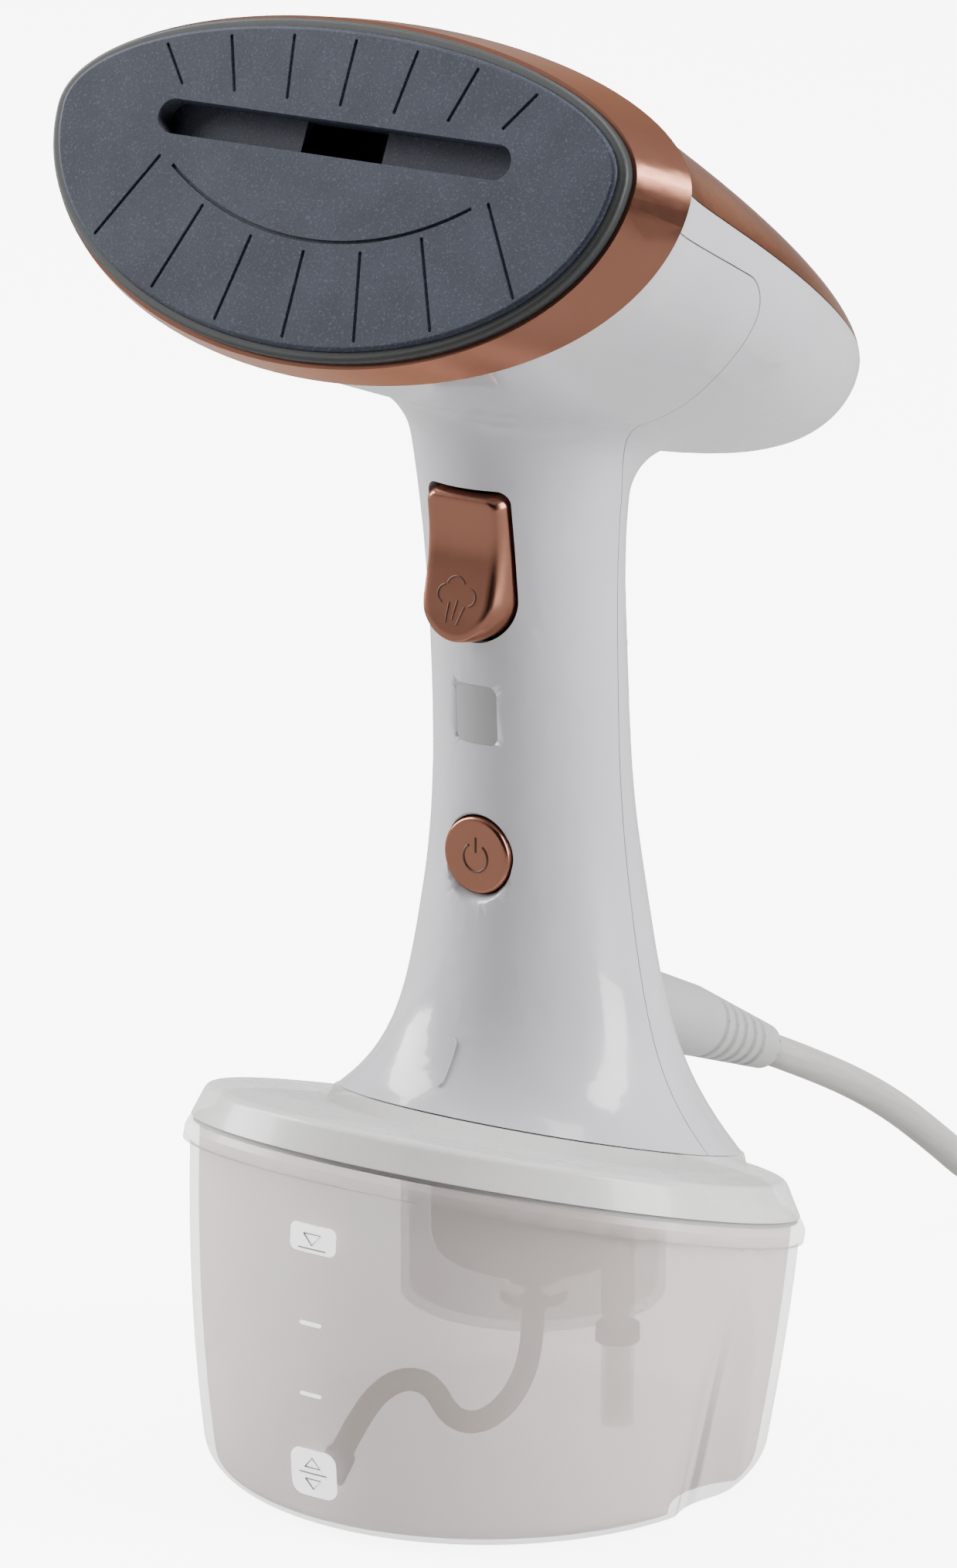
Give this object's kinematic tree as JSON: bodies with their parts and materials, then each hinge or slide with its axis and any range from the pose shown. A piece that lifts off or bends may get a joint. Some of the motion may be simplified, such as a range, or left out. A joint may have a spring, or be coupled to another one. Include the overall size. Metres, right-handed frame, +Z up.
{
  "type": "garment steamer",
  "caption": "Hand garment steamer with a tilted oval soleplate, upright trigger handle docked on a round see-through water tank, and a mains lead.",
  "frame": {"origin": "on the floor, at the centre of the water tank's flat underside", "axes": "+Z up, the soleplate faces -Y, the mains lead leaves towards +Y, X = 0 is the object's plane of symmetry"},
  "size_m": [0.1881, 0.3526, 0.2887],
  "materials": {
    "tank_clear": "milky see-through, smooth",
    "seal_rubber": "soft, matte",
    "inner_plastic": "fine matte",
    "hose": "smooth silicone",
    "mark_ink": "printed",
    "cord": "matte sheath",
    "cord_tie": "woven strap look",
    "plug": "moulded",
    "brass_pins": "plated",
    "shell": "glossy cool white",
    "steel": "drawn",
    "plate": "blue-grey speckled ceramic coat",
    "surround": "dark, satin",
    "rose_gold": "rose-gold plated plastic",
    "window": "light diffuser",
    "board": "solder mask",
    "led": "clear lens",
    "winding": "enamelled copper under tape",
    "silicone": "soft, pale",
    "die_cast": "as cast",
    "dock": "blue-grey, smooth",
    "relief": "matte, ribbed"
  },
  "bodies": {
    "tank": {"tank_bowl": "tank_clear", "tank_seal": "seal_rubber", "tank_cover": "tank_clear", "dock_cup": "tank_clear", "hose_connector": "inner_plastic", "suction_hose": "hose", "intake_filter": "inner_plastic", "vent_tube": "inner_plastic", "vent_cap": "inner_plastic", "level_marks": "mark_ink", "cord_coil": "cord", "cord_tie": "cord_tie", "mains_plug": "plug", "plug_pins": "brass_pins"},
    "handle": {"top_cover": "rose_gold", "front_shell": "shell", "rear_shell": "shell", "shell_screws": "steel", "alignment_mark": "mark_ink", "soleplate": "plate", "plate_surround": "surround", "bezel_ring": "rose_gold", "trigger_pin": "steel", "indicator_window": "window", "circuit_board": "board", "board_led": "led", "trigger_switch": "inner_plastic", "set_switch": "inner_plastic", "pump_body": "inner_plastic", "pump_winding": "winding", "pump_spring": "steel", "feed_hose": "silicone", "riser_tube": "silicone", "steam_chamber": "die_cast", "heating_element": "steel", "chamber_gasket": "silicone", "thermostat": "steel", "thermal_fuse": "silicone", "chamber_screws": "steel", "dock_spigot": "dock", "spigot_o_ring": "seal_rubber", "strain_relief": "relief", "power_cord": "cord", "trigger_spring": "steel"},
    "trigger": {"trigger": "rose_gold"},
    "trigger_plunger": {"trigger_switch_plunger": "inner_plastic"},
    "set_button": {"set_button": "rose_gold"},
    "set_plunger": {"set_switch_plunger": "inner_plastic"},
    "pump_piston": {"pump_plunger": "steel"}
  },
  "joints": [
    {"name": "handle_lift", "type": "slide", "parent": "tank", "child": "handle", "axis": [0, 0, 1], "range_m": [0, 0.05]},
    {"name": "trigger_press", "type": "hinge", "parent": "handle", "child": "trigger", "pos_m": [0, -0.004, 0.1915], "axis": [1, 0, 0], "range_deg": [0, 5], "stiffness_Nm_per_rad": 2, "springref_deg": -2.86, "deforming": ["trigger_spring"]},
    {"name": "trigger_plunger_press", "type": "slide", "parent": "handle", "child": "trigger_plunger", "axis": [0, 1, 0], "range_m": [0, 0.0018]},
    {"name": "set_press", "type": "slide", "parent": "handle", "child": "set_button", "axis": [0, 1, 0], "range_m": [0, 0.0008], "stiffness_N_per_m": 800, "springref_m": -0.0002},
    {"name": "set_plunger_press", "type": "slide", "parent": "handle", "child": "set_plunger", "axis": [0, 1, 0], "range_m": [0, 0.0008]},
    {"name": "pump_stroke", "type": "slide", "parent": "handle", "child": "pump_piston", "axis": [0, 0, 1], "range_m": [-0.003, 0.003], "stiffness_N_per_m": 200, "deforming": ["pump_spring"]}
  ],
  "couplings": [
    {"joint": "trigger_plunger_press", "follows": "trigger_press", "m_per_rad": 0.02},
    {"joint": "set_plunger_press", "follows": "set_press", "ratio": 1}
  ]
}
